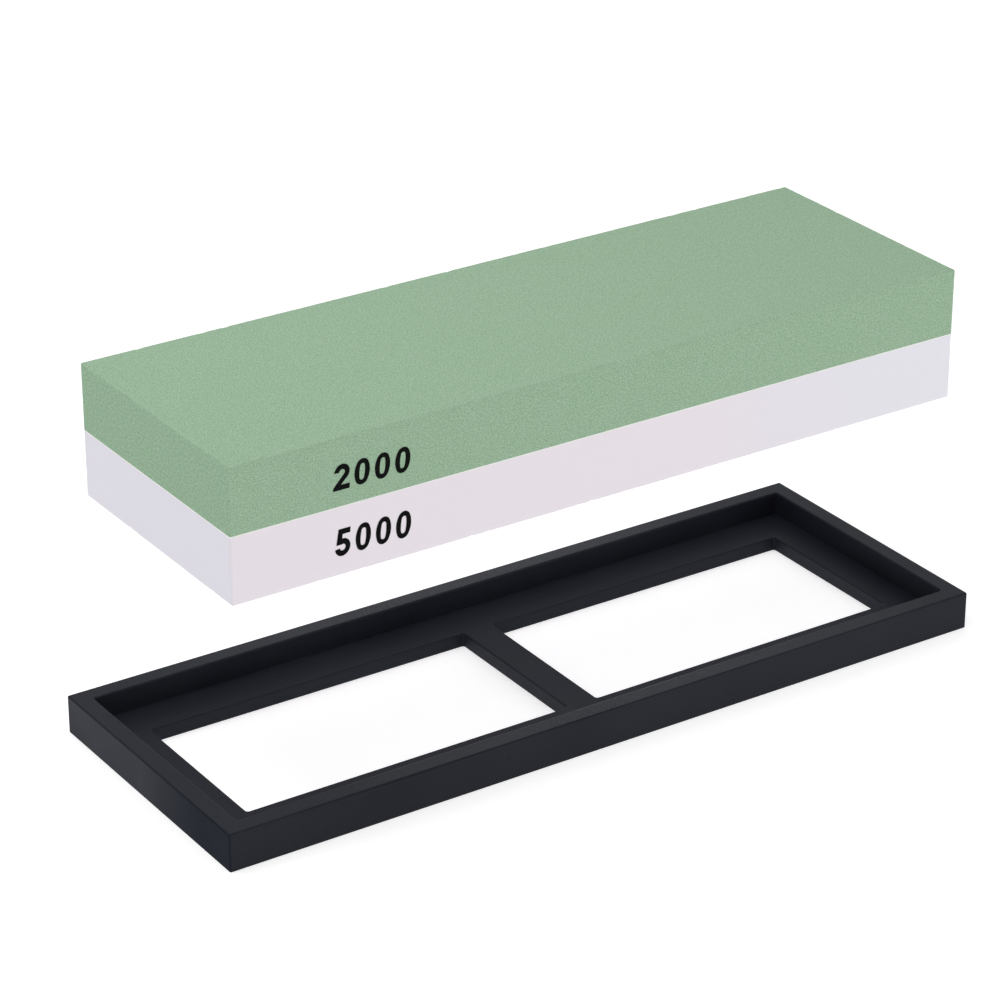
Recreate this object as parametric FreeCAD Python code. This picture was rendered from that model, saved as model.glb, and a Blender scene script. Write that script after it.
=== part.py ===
import FreeCAD, Part
import math
import os

# A combination sharpening whetstone lifted off its moulded holder.
# Millimetres, +Z up. The origin is the centre of the holder's underside, +X runs along the
# stone, and the printed grit numbers are on the long side that faces -Y.

# The stone: two abrasive slabs of equal thickness with a glue film between them
STONE_LENGTH = 180.0
STONE_WIDTH = 60.0
STONE_HEIGHT = 30.0
BOND_THICKNESS = 0.25
STONE_EDGE_RADIUS = 0.4

# The holder: a rim around a recess, with a ledge and a crossbar under the stone
RIM_WIDTH = 4.2
END_CLEARANCE = 0.8  # between the stone and the rim, at each end
SIDE_CLEARANCE = 0.3  # between the stone and the rim, at each long side
HOLDER_HEIGHT = 8.7
SEAT_HEIGHT = 3.2  # top of the ledge above the bench
END_LEDGE_WIDTH = 7.9
SIDE_LEDGE_WIDTH = 10.0
CROSSBAR_WIDTH = 7.6
HOLDER_EDGE_RADIUS = 0.4
RECESS_CORNER_RADIUS = 0.5
WINDOW_CORNER_RADIUS = 0.6
WINDOW_EDGE_RADIUS = 0.3

# How far the stone is lifted above its seat
LIFT = 53.0

# The printed grit numbers: digits drawn at one size, stretched to each mark's height and slanted
COARSE_GRIT = "2000"
FINE_GRIT = "5000"
COARSE_MARK_HEIGHT = 5.5
FINE_MARK_HEIGHT = 5.9
DIGIT_HEIGHT = 5.5
DIGIT_WIDTH = 3.5
DIGIT_PITCH = 4.7
STROKE = 1.08
EYE_WIDTH = 1.3  # of the hole in a zero
END_ROUNDNESS = 0.82  # radius of an oval's ends, as a share of half its width
SLANT = 5.0  # degrees, to the right
INK_THICKNESS = 0.06
MARK_CENTRE_X = 32.4 - STONE_LENGTH / 2
COARSE_MARK_ABOVE_BOND = 6.4  # height of the digits' centres above the middle of the stone
FINE_MARK_BELOW_BOND = 7.8

# Worked out from the above
SLAB_HEIGHT = (STONE_HEIGHT - BOND_THICKNESS) / 2
STONE_BOTTOM = SEAT_HEIGHT + LIFT
BOND_BOTTOM = STONE_BOTTOM + SLAB_HEIGHT
COARSE_BOTTOM = BOND_BOTTOM + BOND_THICKNESS
STONE_TOP = STONE_BOTTOM + STONE_HEIGHT
BOND_MIDDLE = BOND_BOTTOM + BOND_THICKNESS / 2
RECESS_LENGTH = STONE_LENGTH + 2 * END_CLEARANCE
RECESS_WIDTH = STONE_WIDTH + 2 * SIDE_CLEARANCE
HOLDER_LENGTH = RECESS_LENGTH + 2 * RIM_WIDTH
HOLDER_WIDTH = RECESS_WIDTH + 2 * RIM_WIDTH
WINDOW_LENGTH = (RECESS_LENGTH - CROSSBAR_WIDTH) / 2 - END_LEDGE_WIDTH
WINDOW_WIDTH = RECESS_WIDTH - 2 * SIDE_LEDGE_WIDTH
WINDOW_CENTRE_X = (CROSSBAR_WIDTH + WINDOW_LENGTH) / 2
TOUCH = 1e-6


def centred_box(length, width, bottom, top, centre_x=0.0):
    """A box centred on (centre_x, 0) between two heights."""
    corner = FreeCAD.Vector(centre_x - length / 2, -width / 2, bottom)
    return Part.makeBox(length, width, top - bottom, corner)


def is_upright(edge):
    """True for an edge that runs along Z."""
    bounds = edge.BoundBox
    return bounds.ZLength > TOUCH and bounds.XLength < TOUCH and bounds.YLength < TOUCH


def edges_at(shape, height):
    """The edges that lie at one height."""
    flat = [edge for edge in shape.Edges if edge.BoundBox.ZLength < TOUCH]
    return [edge for edge in flat if abs(edge.BoundBox.ZMin - height) < TOUCH]


def round_upright_edges(shape, radius):
    return shape.makeFillet(radius, [edge for edge in shape.Edges if is_upright(edge)])


def slab(bottom, top, working_face):
    """One abrasive slab, with its corners and the edges of its working face eased."""
    block = round_upright_edges(centred_box(STONE_LENGTH, STONE_WIDTH, bottom, top), STONE_EDGE_RADIUS)
    return block.makeFillet(STONE_EDGE_RADIUS, edges_at(block, working_face))


def coarse_grit_layer():
    return slab(COARSE_BOTTOM, STONE_TOP, STONE_TOP)


def fine_grit_layer():
    return slab(STONE_BOTTOM, BOND_BOTTOM, STONE_BOTTOM)


def bond_line():
    film = centred_box(STONE_LENGTH, STONE_WIDTH, BOND_BOTTOM, COARSE_BOTTOM)
    return round_upright_edges(film, STONE_EDGE_RADIUS)


# A digit is drawn upright in X and Z, with its lower left corner at the origin


def on_circle(centre, radius, degrees):
    angle = math.radians(degrees)
    return centre + FreeCAD.Vector(radius * math.cos(angle), 0, radius * math.sin(angle))


def arc_between(centre, radius, start, end):
    places = [on_circle(centre, radius, angle) for angle in (start, (start + end) / 2, end)]
    return Part.Arc(*places).toShape()


def line_between(edge, next_edge):
    return Part.LineSegment(edge.lastVertex().Point, next_edge.firstVertex().Point).toShape()


def ink(outline):
    """A film of ink with this outline, standing proud towards -Y."""
    return Part.Face(outline).extrude(FreeCAD.Vector(0, -INK_THICKNESS, 0))


def straight_stroke(*points):
    corners = [FreeCAD.Vector(x, 0, z) for x, z in points]
    return ink(Part.makePolygon(corners + corners[:1]))


def joined_arcs(first, second):
    """Ink between two arcs whose ends are joined by straight lines."""
    lines = [line_between(first, second), line_between(second, first)]
    return ink(Part.Wire([first, lines[0], second, lines[1]]))


def curved_stroke(centre, radius, start, end):
    outer = arc_between(centre, radius, start, end)
    inner = arc_between(centre, radius - STROKE, end, start)
    return joined_arcs(outer, inner)


def oval(width, bottom, top):
    """An upright oval in the middle of the digit: two gently curved sides and two tighter ends."""
    middle_x, middle_z = DIGIT_WIDTH / 2, (bottom + top) / 2
    half_width, half_height = width / 2, (top - bottom) / 2
    end_radius = END_ROUNDNESS * half_width
    rise = half_height - end_radius
    side_radius = (half_width**2 + rise**2 - end_radius**2) / (2 * (half_width - end_radius))
    reach = side_radius - half_width
    turn = math.degrees(math.atan2(rise, reach))
    right = FreeCAD.Vector(middle_x - reach, 0, middle_z)
    left = FreeCAD.Vector(middle_x + reach, 0, middle_z)
    high = FreeCAD.Vector(middle_x, 0, middle_z + rise)
    low = FreeCAD.Vector(middle_x, 0, middle_z - rise)
    arcs = [
        arc_between(right, side_radius, -turn, turn),
        arc_between(high, end_radius, turn, 180 - turn),
        arc_between(left, side_radius, 180 - turn, 180 + turn),
        arc_between(low, end_radius, 180 + turn, 360 - turn),
    ]
    return ink(Part.Wire(arcs))


def zero():
    eye = oval(EYE_WIDTH, 0.9 * STROKE, DIGIT_HEIGHT - 0.9 * STROKE)
    return oval(DIGIT_WIDTH, 0, DIGIT_HEIGHT).cut(eye)


def two():
    radius = DIGIT_WIDTH / 2
    centre = FreeCAD.Vector(radius, 0, DIGIT_HEIGHT - radius)
    hook_start, hook_end = 178, -40
    hook = curved_stroke(centre, radius, hook_start, hook_end)
    inner = on_circle(centre, radius - STROKE, hook_end)
    outer = on_circle(centre, radius, hook_end)
    left, right = 0.5 * STROKE, DIGIT_WIDTH + 0.2 * STROKE
    heel = (0, 0.65 * STROKE)
    crook = (1.5 * STROKE, STROKE)
    foot = [heel, (0, 0), (left, 0), crook]
    diagonal = straight_stroke((inner.x, inner.z), *foot, (outer.x, outer.z))
    base = straight_stroke((left, 0), (right, 0), (right, STROKE), (left, STROKE))
    return hook.fuse([diagonal, base])


def five():
    radius = DIGIT_WIDTH / 2
    centre = FreeCAD.Vector(radius, 0, radius)
    hook_start, hook_end = -170, 120
    hook = curved_stroke(centre, radius, hook_start, hook_end)
    inner = on_circle(centre, radius - STROKE, hook_end)
    left, right = 0.5 * STROKE, DIGIT_WIDTH - 0.2 * STROKE
    top, shoulder = DIGIT_HEIGHT, DIGIT_HEIGHT - STROKE
    bar = straight_stroke((left, shoulder), (right, shoulder), (right, top), (left, top))
    foot = (0.25 * STROKE, inner.z)
    upright = straight_stroke((left, top), foot, (inner.x, inner.z), (left + STROKE, top))
    return hook.fuse([bar, upright])


DIGITS = {"0": zero, "2": two, "5": five}


def printed(digit, height):
    """Stretches a digit to this height, and leans it to the right about its middle."""
    stretch = height / DIGIT_HEIGHT
    lean = math.tan(math.radians(SLANT))
    change = FreeCAD.Matrix()
    change.A33 = stretch
    change.A13 = lean * stretch
    change.A14 = -lean * height / 2
    return digit.removeSplitter().transformGeometry(change)


def grit_mark(number, height, centre_z):
    """A printed number on the stone's front, each digit a solid of its own."""
    total = DIGIT_PITCH * (len(number) - 1) + DIGIT_WIDTH
    digits = []
    for place, character in enumerate(number):
        digit = printed(DIGITS[character](), height)
        x = MARK_CENTRE_X - total / 2 + place * DIGIT_PITCH
        digit.translate(FreeCAD.Vector(x, -STONE_WIDTH / 2, centre_z - height / 2))
        digits.extend(digit.Solids)
    return Part.makeCompound(digits)


def coarse_grit_mark():
    return grit_mark(COARSE_GRIT, COARSE_MARK_HEIGHT, BOND_MIDDLE + COARSE_MARK_ABOVE_BOND)


def fine_grit_mark():
    return grit_mark(FINE_GRIT, FINE_MARK_HEIGHT, BOND_MIDDLE - FINE_MARK_BELOW_BOND)


def window(centre_x):
    past = HOLDER_HEIGHT
    hole = centred_box(WINDOW_LENGTH, WINDOW_WIDTH, -past, SEAT_HEIGHT + past, centre_x)
    return round_upright_edges(hole, WINDOW_CORNER_RADIUS)


def is_beside_window(edge):
    """True for an edge nearer to a window than to the rim."""
    middle = edge.CenterOfMass
    beside_x = abs(middle.x) < (RECESS_LENGTH - END_LEDGE_WIDTH) / 2
    beside_y = abs(middle.y) < (RECESS_WIDTH - SIDE_LEDGE_WIDTH) / 2
    return beside_x and beside_y


def holder():
    """One moulding: a rim, a ledge that carries the stone, and a crossbar between two windows."""
    outside = centred_box(HOLDER_LENGTH, HOLDER_WIDTH, 0, HOLDER_HEIGHT)
    recess = centred_box(RECESS_LENGTH, RECESS_WIDTH, SEAT_HEIGHT, 2 * HOLDER_HEIGHT)
    body = round_upright_edges(outside, HOLDER_EDGE_RADIUS)
    body = body.cut(round_upright_edges(recess, RECESS_CORNER_RADIUS))
    body = body.cut([window(-WINDOW_CENTRE_X), window(WINDOW_CENTRE_X)])
    body = body.makeFillet(HOLDER_EDGE_RADIUS, edges_at(body, HOLDER_HEIGHT))
    window_edges = [edge for edge in edges_at(body, SEAT_HEIGHT) if is_beside_window(edge)]
    return body.makeFillet(WINDOW_EDGE_RADIUS, window_edges)


NODES = {
    "coarse_grit_layer": coarse_grit_layer,
    "fine_grit_layer": fine_grit_layer,
    "bond_line": bond_line,
    "coarse_grit_mark": coarse_grit_mark,
    "fine_grit_mark": fine_grit_mark,
    "holder": holder,
}

os.makedirs("parts", exist_ok=True)
for name, make in NODES.items():
    make().exportStep(os.path.join("parts", name + ".step"))
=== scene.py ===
"""Looks of a two-grit sharpening whetstone, lifted off its moulded holder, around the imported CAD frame.

Lengths are in metres and colours are linear. The stone's two abrasive layers and the resin between them
are meshed here, with eased and slightly worn edges. The holder and the printed grit numbers keep their
CAD shapes.
"""

import math

import bpy
import numpy as np
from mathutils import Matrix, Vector, noise


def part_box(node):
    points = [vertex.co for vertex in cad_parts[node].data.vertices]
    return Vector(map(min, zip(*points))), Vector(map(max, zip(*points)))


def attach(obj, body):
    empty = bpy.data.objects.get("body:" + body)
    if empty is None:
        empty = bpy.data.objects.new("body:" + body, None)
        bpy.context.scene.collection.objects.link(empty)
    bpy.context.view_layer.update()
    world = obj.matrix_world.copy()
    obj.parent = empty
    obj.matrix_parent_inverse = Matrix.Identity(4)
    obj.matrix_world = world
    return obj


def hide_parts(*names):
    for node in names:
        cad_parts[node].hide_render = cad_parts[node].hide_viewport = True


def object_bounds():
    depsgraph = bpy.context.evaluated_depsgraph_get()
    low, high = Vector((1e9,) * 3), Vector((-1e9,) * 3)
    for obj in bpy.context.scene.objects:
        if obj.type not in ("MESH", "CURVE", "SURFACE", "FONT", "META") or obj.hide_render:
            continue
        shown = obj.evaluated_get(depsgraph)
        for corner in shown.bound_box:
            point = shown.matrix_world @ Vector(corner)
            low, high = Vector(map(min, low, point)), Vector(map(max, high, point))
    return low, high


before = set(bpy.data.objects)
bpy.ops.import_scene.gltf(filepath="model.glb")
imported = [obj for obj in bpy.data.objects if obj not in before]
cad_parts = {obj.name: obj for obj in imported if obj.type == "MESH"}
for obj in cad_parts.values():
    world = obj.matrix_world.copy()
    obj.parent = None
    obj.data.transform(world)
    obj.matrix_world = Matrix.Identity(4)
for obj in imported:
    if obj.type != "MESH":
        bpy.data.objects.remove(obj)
cad_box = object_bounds()

MM = 0.001

# The camera, as in a product photograph taken from the front left and above
CAMERA_AZIMUTH = -33.6  # degrees; 0 looks along +Y
CAMERA_ELEVATION = 25.8
CAMERA_DISTANCE = 800 * MM
CAMERA_AIM = Vector((-3.7, 5.7, -1.3)) * MM  # from the middle of the whole object
CAMERA_LENS = 134.0
SENSOR_WIDTH = 36.0

# The stone's meshes
EDGE_RADIUS = 0.4 * MM
EDGE_LINES = np.array((0, 0.13, 0.27, 0.40, 0.55, 0.75, 1.05)) * MM  # cuts beside a rounded edge
SURFACE_PITCH = 0.7 * MM
SHARP_ANGLE = 50  # degrees; the shading breaks at a sharper turn
RELIEF_DEPTH = 0.008 * MM
RELIEF_WAVELENGTH = 1.9 * MM
BOND_HOLLOW = 0.03 * MM
BOND_WAVELENGTH = 4 * MM

# Wear along the stone's edges. The last four are shares of the depth
WEAR_WIDTH = 0.8 * MM
WEAR_DEPTH = 0.05 * MM
WEAR_SLOW_WAVELENGTH = 9 * MM
WEAR_FAST_WAVELENGTH = 1.3 * MM
WEAR_MEAN = 0.45
WEAR_SLOW = 0.5
WEAR_FAST = 0.45
WEAR_MOST = 1.3

# Chips along the stone's edges
CHIP_SPACING = 11 * MM
CHIP_RADIUS = (0.35 * MM, 1.1 * MM)
CHIP_DEPTH = (0.04 * MM, 0.20 * MM)
CHIP_STEEPNESS = 1.4

# Each layer's own noise and chips
COARSE_SEED = 5
FINE_SEED = 23
FILM_SEED = 11


# Meshes


def cut_lines(low, high, eased_low=True, eased_high=True):
    """Where a box is cut from low to high: every SURFACE_PITCH or so, and closer beside an eased edge."""
    start = low + EDGE_LINES if eased_low else np.array([low])
    end = high - EDGE_LINES[::-1] if eased_high else np.array([high])
    steps = max(1, round((end[0] - start[-1]) / SURFACE_PITCH))
    middle = np.linspace(start[-1], end[0], steps + 1)[1:-1]
    return np.concatenate([start, middle, end])


def box_surface(lines):
    """Vertices and quads of a closed box, cut along the given lines on its three axes."""
    index, points, quads = {}, [], []
    for axis in range(3):
        across, along = (axis + 1) % 3, (axis + 2) % 3
        for end in (0, len(lines[axis]) - 1):
            for a in range(len(lines[across]) - 1):
                for b in range(len(lines[along]) - 1):
                    ring = ((a, b), (a + 1, b), (a + 1, b + 1), (a, b + 1))
                    quad = []
                    for c, d in ring if end else ring[::-1]:
                        key = [end] * 3
                        key[across], key[along] = c, d
                        key = tuple(key)
                        if key not in index:
                            index[key] = len(points)
                            points.append([lines[i][key[i]] for i in range(3)])
                        quad.append(index[key])
                    quads.append(quad)
    return np.array(points), quads


def smooth_noise(points, wavelength, offset):
    """Noise from about -1 to 1 at each point, changing over this wavelength."""
    shift = Vector((offset, -offset, 2 * offset))
    return np.array([noise.noise(Vector(p) / wavelength + shift) for p in points])


def smoothstep(values):
    """0 below 0 and 1 above 1, with a smooth rise between them."""
    t = np.clip(values, 0, 1)
    return t * t * (3 - 2 * t)


class Slab:
    """A box of abrasive. outer is 1 with its working face on top, -1 with it below, and 0 with none."""

    def __init__(self, node, outer):
        low, high = (np.array(corner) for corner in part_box(node))
        self.low, self.high, self.outer = low, high, outer
        lines = [cut_lines(low[0], high[0]), cut_lines(low[1], high[1])]
        lines.append(cut_lines(low[2], high[2], outer < 0, outer > 0))
        self.points, self.quads = box_surface(lines)
        self.measure()
        self.round_edges()
        self.worn = np.zeros(len(self.points))

    def measure(self):
        """Each point's distance to the nearest eased edge, before the edges are rounded."""
        to_sides = np.minimum(self.points - self.low, self.high - self.points)
        if self.outer > 0:
            to_sides[:, 2] = self.high[2] - self.points[:, 2]
        elif self.outer < 0:
            to_sides[:, 2] = self.points[:, 2] - self.low[2]
        else:
            to_sides[:, 2] = self.high[0] - self.low[0]
        self.to_edge = np.sort(to_sides, axis=1)[:, 1]

    def round_edges(self):
        """Rounds the eased edges, and keeps each point's outward direction."""
        low, high = self.low + EDGE_RADIUS, self.high - EDGE_RADIUS
        if self.outer <= 0:
            high[2] = self.high[2]
        if self.outer >= 0:
            low[2] = self.low[2]
        core = np.clip(self.points, low, high)
        out = self.points - core
        length = np.linalg.norm(out, axis=1, keepdims=True)
        self.normals = np.divide(out, length, out=np.zeros_like(out), where=length > 0)
        self.points = core + self.normals * EDGE_RADIUS

    def wear(self, seed):
        """Presses the surface in a little: fine relief all over, uneven edges, and chips along them."""
        # The numbers added to the seed only keep the three noises apart
        near = np.flatnonzero(self.to_edge < WEAR_WIDTH)
        close = 1 - smoothstep(self.to_edge[near] / WEAR_WIDTH)
        slow = smooth_noise(self.points[near], WEAR_SLOW_WAVELENGTH, seed)
        fast = smooth_noise(self.points[near], WEAR_FAST_WAVELENGTH, seed + 7)
        rub = close * np.clip(WEAR_MEAN + WEAR_SLOW * slow + WEAR_FAST * fast, 0, WEAR_MOST)
        depth = RELIEF_DEPTH * (0.5 + 0.5 * smooth_noise(self.points, RELIEF_WAVELENGTH, seed + 3))
        depth[near] += WEAR_DEPTH * rub
        self.worn[near] = rub
        self.points -= self.normals * depth[:, None]
        self.chip(near, np.random.default_rng(seed))

    def edges(self):
        """The eased edges, each as two ends and the direction into the slab from there."""
        low, high, outer = self.low, self.high, self.outer
        face, bond = (high[2], low[2]) if outer > 0 else (low[2], high[2])
        for x, inward_x in ((low[0], 1), (high[0], -1)):
            yield (x, low[1], face), (x, high[1], face), (inward_x, 0, -outer)
            for y, inward_y in ((low[1], 1), (high[1], -1)):
                yield (x, y, bond), (x, y, face), (inward_x, inward_y, 0)
        for y, inward_y in ((low[1], 1), (high[1], -1)):
            yield (low[0], y, face), (high[0], y, face), (0, inward_y, -outer)

    def chip(self, near, random):
        """Small bites out of the eased edges, at random places."""
        for start, end, inward in self.edges():
            start, end = np.array(start), np.array(end)
            inward = np.array(inward) / math.sqrt(2)
            count = max(1, round(np.linalg.norm(end - start) / CHIP_SPACING))
            for place in random.random(count):
                radius = random.uniform(*CHIP_RADIUS)
                depth = random.uniform(*CHIP_DEPTH) * radius / CHIP_RADIUS[1]
                centre = start + (end - start) * place
                reach = np.linalg.norm(self.points[near] - centre, axis=1) / radius
                bite = smoothstep(CHIP_STEEPNESS - CHIP_STEEPNESS * reach)
                self.points[near] += inward * (depth * bite)[:, None]
                self.worn[near] = np.maximum(self.worn[near], bite)

    def hollow(self, seed):
        """Sinks the film's sides a little between the slabs, unevenly."""
        sides = np.abs(self.normals).max(axis=1) > 0
        dip = 0.5 + 0.5 * smooth_noise(self.points[sides], BOND_WAVELENGTH, seed)
        self.points[sides] -= self.normals[sides] * (BOND_HOLLOW * dip)[:, None]

    def make(self, name, material, replaced):
        """The slab as a piece of the stone, in place of a CAD node."""
        mesh = bpy.data.meshes.new(name)
        mesh.from_pydata(self.points.tolist(), [], self.quads)
        worn = mesh.attributes.new("worn", "FLOAT", "POINT")
        worn.data.foreach_set("value", self.worn.astype(np.float32))
        mesh.shade_smooth()
        mesh.set_sharp_from_angle(angle=math.radians(SHARP_ANGLE))
        mesh.materials.append(material)
        piece = bpy.data.objects.new(name, mesh)
        bpy.context.scene.collection.objects.link(piece)
        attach(piece, "stone")
        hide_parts(replaced)


# Materials

NOISE_RANGE = (0.3, 0.7)  # nearly all of a noise's values lie between these
SPOT_SOFTNESS = 0.3  # the share of a spot's radius over which it fades out
END_FROM, END_TO = 50 * MM, 80 * MM  # a face that looks outward along X is an outer end from here on


class Nodes:
    """A material whose nodes are added one call at a time."""

    def __init__(self, name, **shader_inputs):
        self.material = bpy.data.materials.new(name)
        self.material.use_nodes = True
        self.tree = self.material.node_tree
        self.shader = next(n for n in self.tree.nodes if n.type == "BSDF_PRINCIPLED")
        self.set(self.shader, shader_inputs)
        coordinates = self.add("ShaderNodeTexCoord").outputs
        self.place, self.facing = coordinates["Object"], coordinates["Normal"]

    def set(self, node, inputs):
        """Sets each input to a value, or links it to a node's output. _ in a name stands for a space."""
        for key, value in inputs.items():
            socket = node.inputs[key.replace("_", " ") if isinstance(key, str) else key]
            if isinstance(value, bpy.types.NodeSocket):
                self.tree.links.new(value, socket)
            else:
                socket.default_value = value

    def add(self, kind, inputs=None, **settings):
        """A new node."""
        node = self.tree.nodes.new(kind)
        for key, value in settings.items():
            setattr(node, key, value)
        self.set(node, inputs or {})
        return node

    def noise(self, feature, detail=2.0, roughness=0.5):
        """Noise whose features are about this long."""
        inputs = {"Vector": self.place, "Scale": 1 / feature, "Detail": detail, "Roughness": roughness}
        return self.add("ShaderNodeTexNoise", inputs).outputs["Fac"]

    def spots(self, spacing, radius):
        """1 in round spots and 0 between them."""
        cells = self.add("ShaderNodeTexVoronoi", {"Vector": self.place, "Scale": 1 / spacing})
        distance = cells.outputs["Distance"]
        inner, outer = radius / spacing * (1 - SPOT_SOFTNESS), radius / spacing
        return self.ramp(distance, inner, outer, 1, 0)

    def ramp(self, value, low, high, to_low=0.0, to_high=1.0):
        """value from low to high, mapped to to_low to to_high and held there beyond."""
        inputs = {"Value": value, "From Min": low, "From Max": high, "To Min": to_low, "To Max": to_high}
        return self.add("ShaderNodeMapRange", inputs).outputs["Result"]

    def spread(self, noise_value, to_low=0.0, to_high=1.0):
        """A noise's usual range, mapped to to_low to to_high."""
        return self.ramp(noise_value, *NOISE_RANGE, to_low, to_high)

    def math(self, operation, *values):
        """One sum, difference, product or the like."""
        return self.add("ShaderNodeMath", dict(enumerate(values)), operation=operation).outputs[0]

    def mix(self, amount, first, second):
        """A colour from first to second."""
        inputs = {0: amount, 6: first, 7: second}
        return self.add("ShaderNodeMix", inputs, data_type="RGBA").outputs[2]

    def tint(self, body, colour, mask, amount):
        """The body's colour, moved towards another by this amount where the mask is 1."""
        return self.mix(self.math("MULTIPLY", mask, amount), body, colour)

    def along(self, vector, axis):
        """A vector's part along "X", "Y" or "Z"."""
        return self.add("ShaderNodeSeparateXYZ", {"Vector": vector}).outputs[axis]

    def end_facing(self):
        """1 on a piece's two outer ends along X, and 0 on its other faces."""
        outward = self.math("MULTIPLY", self.along(self.facing, "X"), self.along(self.place, "X"))
        return self.ramp(outward, END_FROM, END_TO)

    def attribute(self, name):
        """A value kept at each vertex of the mesh."""
        return self.add("ShaderNodeAttribute", attribute_name=name).outputs["Fac"]

    def bump(self, height, distance, strength, under=None):
        """A normal tilted by this height, on top of the one under it."""
        inputs = {"Height": height, "Distance": distance, "Strength": strength}
        if under is not None:
            inputs["Normal"] = under
        return self.add("ShaderNodeBump", inputs).outputs["Normal"]

    def finish(self, **shader_inputs):
        """Links the shader's inputs and gives back the material."""
        self.set(self.shader, shader_inputs)
        return self.material


GREEN_DARK = (0.225, 0.355, 0.23, 1)
GREEN_PALE = (0.41, 0.575, 0.415, 1)
GREEN_CLOUD = (0.28, 0.44, 0.27, 1)
# The next colour is painted shade for the outer ends
GREEN_PAINTED_END_SHADE = (0.20, 0.33, 0.21, 1)
GREEN_WORN = (0.50, 0.62, 0.48, 1)
PALE_GRAIN = (0.62, 0.74, 0.60, 1)
DARK_GRAIN = (0.12, 0.22, 0.13, 1)


def green_abrasive():
    """Coarse fired abrasive: green, with a speckle of pale and dark grains, larger on the sawn ends, and
    painted shade that darkens those ends.
    """
    m = Nodes("green_abrasive", Specular_IOR_Level=0.25)
    ends = m.end_facing()
    grain = m.noise(0.28 * MM, detail=1.0, roughness=0.7)
    sawn = m.math("SUBTRACT", m.noise(0.5 * MM, detail=1.0, roughness=0.7), grain)
    grain = m.math("ADD", grain, m.math("MULTIPLY", ends, sawn))
    body = m.mix(m.spread(grain), GREEN_DARK, GREEN_PALE)
    cloud = m.noise(14 * MM, detail=3.0)
    body = m.mix(m.spread(cloud, 0, 0.10), body, GREEN_CLOUD)
    # Painted shade: the outer ends are darkened
    body = m.tint(body, GREEN_PAINTED_END_SHADE, ends, amount=0.25)
    body = m.tint(body, PALE_GRAIN, m.spots(spacing=1.1 * MM, radius=0.16 * MM), amount=0.2)
    body = m.tint(body, DARK_GRAIN, m.spots(spacing=1.7 * MM, radius=0.17 * MM), amount=0.3)
    body = m.tint(body, GREEN_WORN, m.attribute("worn"), amount=0.12)
    pores = m.noise(0.5 * MM, detail=3.0, roughness=0.6)
    relief = m.bump(pores, distance=0.05 * MM, strength=0.5)
    return m.finish(Base_Color=body, Roughness=m.spread(grain, 0.78, 0.95), Normal=relief)


WHITE_PINK = (0.855, 0.797, 0.85, 1)
WHITE_LILAC = (0.82, 0.807, 0.87, 1)
# The next colour is painted shade for the outer ends
WHITE_PAINTED_END_SHADE = (0.765, 0.745, 0.815, 1)
WHITE_GRAIN = (0.74, 0.71, 0.75, 1)
WHITE_FLECK = (0.50, 0.47, 0.50, 1)
WHITE_WORN = (0.86, 0.84, 0.86, 1)
LILAC_BAND = (20 * MM, 70 * MM)  # along X: where pink starts turning into lilac, and where it has
LILAC_DRIFT = 40 * MM  # how far clouds move that turn at most, both ways together


def white_abrasive():
    """Fine abrasive: a smooth chalky white, faintly pink, and lilac towards its right end, with painted
    shade that makes its outer ends darker and cooler.
    """
    m = Nodes("white_abrasive", Specular_IOR_Level=0.3)
    cloud = m.math("SUBTRACT", m.noise(22 * MM), 0.5)
    drift = m.math("ADD", m.along(m.place, "X"), m.math("MULTIPLY", cloud, LILAC_DRIFT))
    body = m.mix(m.ramp(drift, *LILAC_BAND), WHITE_PINK, WHITE_LILAC)
    # Painted shade: the outer ends are darkened and cooled towards lilac
    body = m.mix(m.end_facing(), body, WHITE_PAINTED_END_SHADE)
    fine = m.noise(0.35 * MM)
    body = m.mix(m.ramp(fine, 0.35, 0.65, 0, 0.08), body, WHITE_GRAIN)
    body = m.tint(body, WHITE_FLECK, m.spots(spacing=2.6 * MM, radius=0.15 * MM), amount=0.25)
    body = m.tint(body, WHITE_WORN, m.attribute("worn"), amount=0.15)
    pores = m.noise(0.9 * MM, detail=4.0, roughness=0.6)
    relief = m.bump(pores, distance=0.02 * MM, strength=0.4)
    return m.finish(Base_Color=body, Roughness=m.spread(fine, 0.62, 0.78), Normal=relief)


RESIN_DARK = (0.82, 0.84, 0.80, 1)
RESIN_PALE = (0.92, 0.92, 0.90, 1)


def bond_resin():
    """The pale film of resin that joins the two layers."""
    m = Nodes("bond_resin", Specular_IOR_Level=0.4)
    cloud = m.noise(3 * MM, detail=3.0)
    body = m.mix(m.spread(cloud), RESIN_DARK, RESIN_PALE)
    relief = m.bump(m.noise(0.4 * MM), distance=0.02 * MM, strength=0.5)
    return m.finish(Base_Color=body, Roughness=m.spread(cloud, 0.40, 0.60), Normal=relief)


INK_THICK = (0.0015, 0.0015, 0.002, 1)
INK_THIN = (0.04, 0.045, 0.04, 1)


def black_ink():
    """Printed black ink, thinner over the stone's pores."""
    m = Nodes("black_ink", Specular_IOR_Level=0.05)
    cover = m.noise(0.3 * MM, roughness=0.6)
    body = m.mix(m.ramp(cover, 0.56, 0.74, 0, 0.3), INK_THICK, INK_THIN)
    relief = m.bump(cover, distance=0.02 * MM, strength=0.4)
    return m.finish(Base_Color=body, Roughness=m.spread(cover, 0.45, 0.7), Normal=relief)


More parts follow.
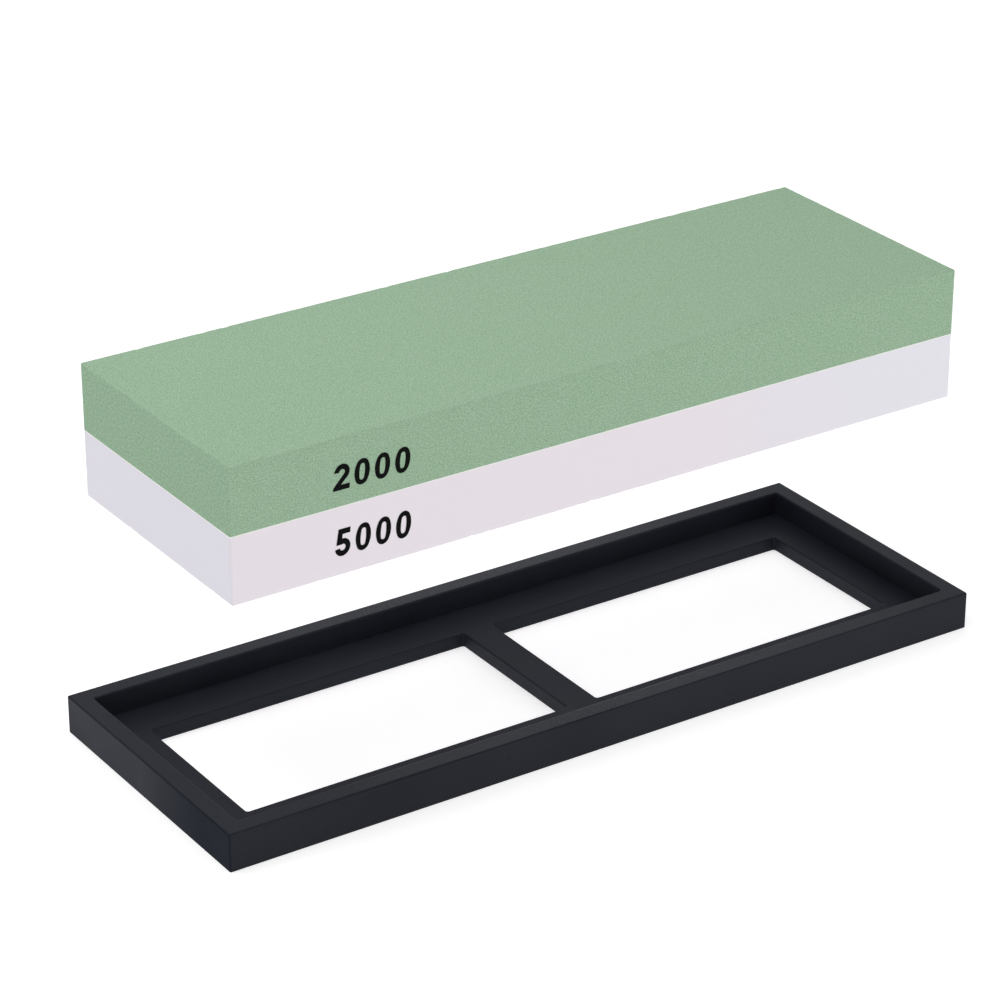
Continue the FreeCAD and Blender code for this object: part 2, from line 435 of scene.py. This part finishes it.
SILICONE_DARK = (0.0080, 0.0080, 0.0125, 1)
SILICONE_PALE = (0.0125, 0.0125, 0.0185, 1)
SILICONE_TONE = (0.0130, 0.0160, 0.0210, 1)
# The next colour is painted shade for the outer ends
SILICONE_PAINTED_END_SHADE = (0.0020, 0.0025, 0.0075, 1)
SILICONE_GLOSS = (0.80, 0.88, 1.0, 1)
SILICONE_SHEEN = (0.55, 0.74, 1.0, 1)
DUST = (0.10, 0.10, 0.11, 1)
HOLDER_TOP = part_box("holder")[1][2]
RIM_BAND = (HOLDER_TOP - 0.7 * MM, HOLDER_TOP - 0.1 * MM)  # heights over which a wall turns into the rim
HANDLED_BAND = (20 * MM, 85 * MM)  # from the middle along X: where the rims are handled most, and not
HANDLED_SMOOTHER = 0.26  # taken off the roughness there
MATT_BAND = (-22 * MM, 2 * MM)  # along Y: where the ends are most matt, and no more than the rest
MATT_ROUGHER = 0.3  # added to the roughness there


def black_silicone():
    """Moulded silicone rubber: near black with a soft sheen, a fine matt grain and a little dust.

    The middles of the long rims are handled smooth, and the ends are more matt towards the front and
    carry painted shade that darkens them.
    """
    m = Nodes("black_silicone", Specular_IOR_Level=0.15, Specular_Tint=SILICONE_GLOSS)
    m.set(m.shader, {"Sheen_Weight": 0.055, "Sheen_Roughness": 0.45, "Sheen_Tint": SILICONE_SHEEN})
    ends = m.end_facing()
    cloud = m.noise(18 * MM, detail=3.0)
    body = m.mix(m.spread(cloud), SILICONE_DARK, SILICONE_PALE)
    body = m.mix(m.ramp(m.noise(45 * MM), 0.35, 0.65, 0, 0.5), body, SILICONE_TONE)
    # Painted shade: the outer ends are darkened
    body = m.tint(body, SILICONE_PAINTED_END_SHADE, ends, amount=0.8)
    patches = m.ramp(m.noise(8 * MM), 0.5, 0.6)
    dusty = m.math("MULTIPLY", m.spots(spacing=3.1 * MM, radius=0.12 * MM), patches)
    body = m.tint(body, DUST, dusty, amount=0.5)

    fine = m.noise(0.12 * MM, roughness=0.6)
    grain = m.math("ADD", fine, m.math("MULTIPLY", cloud, 0.6))
    rough = m.ramp(grain, 0.5, 1.1, 0.45, 0.65)
    on_rim = m.ramp(m.along(m.place, "Z"), *RIM_BAND)
    mid_length = m.ramp(m.math("ABSOLUTE", m.along(m.place, "X")), *HANDLED_BAND, 1, 0)
    handled = m.math("MULTIPLY", on_rim, mid_length)
    rough = m.math("SUBTRACT", rough, m.math("MULTIPLY", handled, HANDLED_SMOOTHER))
    matt = m.math("MULTIPLY", ends, m.ramp(m.along(m.place, "Y"), *MATT_BAND, 1, 0))
    rough = m.math("ADD", rough, m.math("MULTIPLY", matt, MATT_ROUGHER))

    swell = m.bump(m.noise(16 * MM, detail=1.0), distance=0.25 * MM, strength=0.4)
    relief = m.bump(fine, distance=0.012 * MM, strength=0.35, under=swell)
    return m.finish(Base_Color=body, Roughness=rough, Normal=relief)


# The object


def build_stone():
    """The two abrasive layers and the resin film between them."""
    coarse = Slab("coarse_grit_layer", 1)
    coarse.wear(COARSE_SEED)
    coarse.make("coarse_abrasive_layer", green_abrasive(), "coarse_grit_layer")
    fine = Slab("fine_grit_layer", -1)
    fine.wear(FINE_SEED)
    fine.make("fine_abrasive_layer", white_abrasive(), "fine_grit_layer")
    film = Slab("bond_line", 0)
    film.hollow(FILM_SEED)
    film.make("resin_film", bond_resin(), "bond_line")


def dress(node, material):
    """Gives a CAD node a better material."""
    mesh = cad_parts[node].data
    mesh.materials.clear()
    mesh.materials.append(material)


# The studio

WHITE = (1, 1, 1, 1)
TABLE_HALF = 3.0
TABLE_BELOW = 0.05 * MM
TABLE_DARK = (0.66, 0.66, 0.66, 1)
TABLE_PALE = (0.68, 0.68, 0.68, 1)
TABLE_NEAR, TABLE_FAR = 0.3, 1.5  # from the middle of the table: where its glow starts and stops growing
GLOW_NEAR, GLOW_FAR = 0.59, 0.66

# The world's brightness falls from the horizon's to the sky's over these sines of the elevation
HORIZON_LOW, HORIZON_HIGH = 0.085, 0.13
HORIZON_LIGHT, SKY_LIGHT = 1.0, 0.48

# Soft boxes: where each stands from the middle of the object, its size and its power
SOFT_BOXES = {
    "key": ((-0.16, 0.05, 0.40), 0.25, 0.48),
    "top": ((0.0, 0.0, 0.90), 1.0, 1.72),
    "front": ((0.70, -0.80, 0.35), 0.6, 0.42),
    "right": ((0.45, -0.35, 0.15), 0.25, 0.22),
    "left": ((-0.30, 0.32, 0.08), 0.15, 0.03),
    "back": ((0.75, 1.10, 0.60), 1.2, 1.7),
}


def table_top():
    """The pale top of the table, which also glows a little, and more so far away."""
    m = Nodes("shooting_table", Specular_IOR_Level=0.1)
    cloud = m.noise(300 * MM)
    away = m.add("ShaderNodeVectorMath", {0: m.place}, operation="LENGTH").outputs["Value"]
    glow = m.ramp(away, TABLE_NEAR, TABLE_FAR, GLOW_NEAR, GLOW_FAR)
    m.set(m.shader, {"Emission_Color": WHITE, "Emission_Strength": glow})
    body = m.mix(m.spread(cloud), TABLE_DARK, TABLE_PALE)
    return m.finish(Base_Color=body, Roughness=m.spread(cloud, 0.85, 0.95))


def build_table():
    """The table that the object stands on, which is no part of it."""
    half, z = TABLE_HALF, -TABLE_BELOW
    corners = [(-half, -half, z), (half, -half, z), (half, half, z), (-half, half, z)]
    mesh = bpy.data.meshes.new("shooting_table")
    mesh.from_pydata(corners, [], [(0, 1, 2, 3)])
    mesh.materials.append(table_top())
    table = bpy.data.objects.new("shooting_table", mesh)
    bpy.context.scene.collection.objects.link(table)


def build_lights(centre):
    """The soft boxes, each turned to face the object."""
    for name, (offset, size, power) in SOFT_BOXES.items():
        light = bpy.data.lights.new(name, "AREA")
        light.size = size
        light.energy = power
        lamp = bpy.data.objects.new(name, light)
        lamp.location = centre + Vector(offset)
        lamp.rotation_euler = (-Vector(offset)).to_track_quat("-Z", "Y").to_euler()
        bpy.context.scene.collection.objects.link(lamp)


def build_world():
    """A white room, bright below and at the horizon and dimmer above it."""
    world = bpy.data.worlds.new("studio")
    world.use_nodes = True
    nodes, links = world.node_tree.nodes, world.node_tree.links
    direction = nodes.new("ShaderNodeTexCoord").outputs["Generated"]
    height = nodes.new("ShaderNodeSeparateXYZ")
    links.new(direction, height.inputs["Vector"])
    fade = nodes.new("ShaderNodeMapRange")
    fade.inputs["From Min"].default_value = HORIZON_LOW
    fade.inputs["From Max"].default_value = HORIZON_HIGH
    fade.inputs["To Min"].default_value = HORIZON_LIGHT
    fade.inputs["To Max"].default_value = SKY_LIGHT
    links.new(height.outputs["Z"], fade.inputs["Value"])
    links.new(fade.outputs["Result"], nodes["Background"].inputs["Strength"])
    nodes["Background"].inputs["Color"].default_value = WHITE
    bpy.context.scene.world = world


def build_camera(centre):
    """The camera, which looks at the aim point from its distance and angles."""
    azimuth, elevation = math.radians(CAMERA_AZIMUTH), math.radians(CAMERA_ELEVATION)
    level = math.cos(elevation)
    back = Vector((math.sin(azimuth) * level, -math.cos(azimuth) * level, math.sin(elevation)))
    data = bpy.data.cameras.new("camera")
    data.lens = CAMERA_LENS
    data.sensor_width = SENSOR_WIDTH
    camera = bpy.data.objects.new("camera", data)
    camera.location = centre + CAMERA_AIM + back * CAMERA_DISTANCE
    camera.rotation_euler = (-back).to_track_quat("-Z", "Y").to_euler()
    bpy.context.scene.collection.objects.link(camera)
    bpy.context.scene.camera = camera


build_stone()
ink = black_ink()
dress("coarse_grit_mark", ink)
dress("fine_grit_mark", ink)
dress("holder", black_silicone())

middle = (cad_box[0] + cad_box[1]) / 2
build_table()
build_lights(middle)
build_world()
build_camera(middle)
bpy.context.scene.view_settings.view_transform = "Standard"
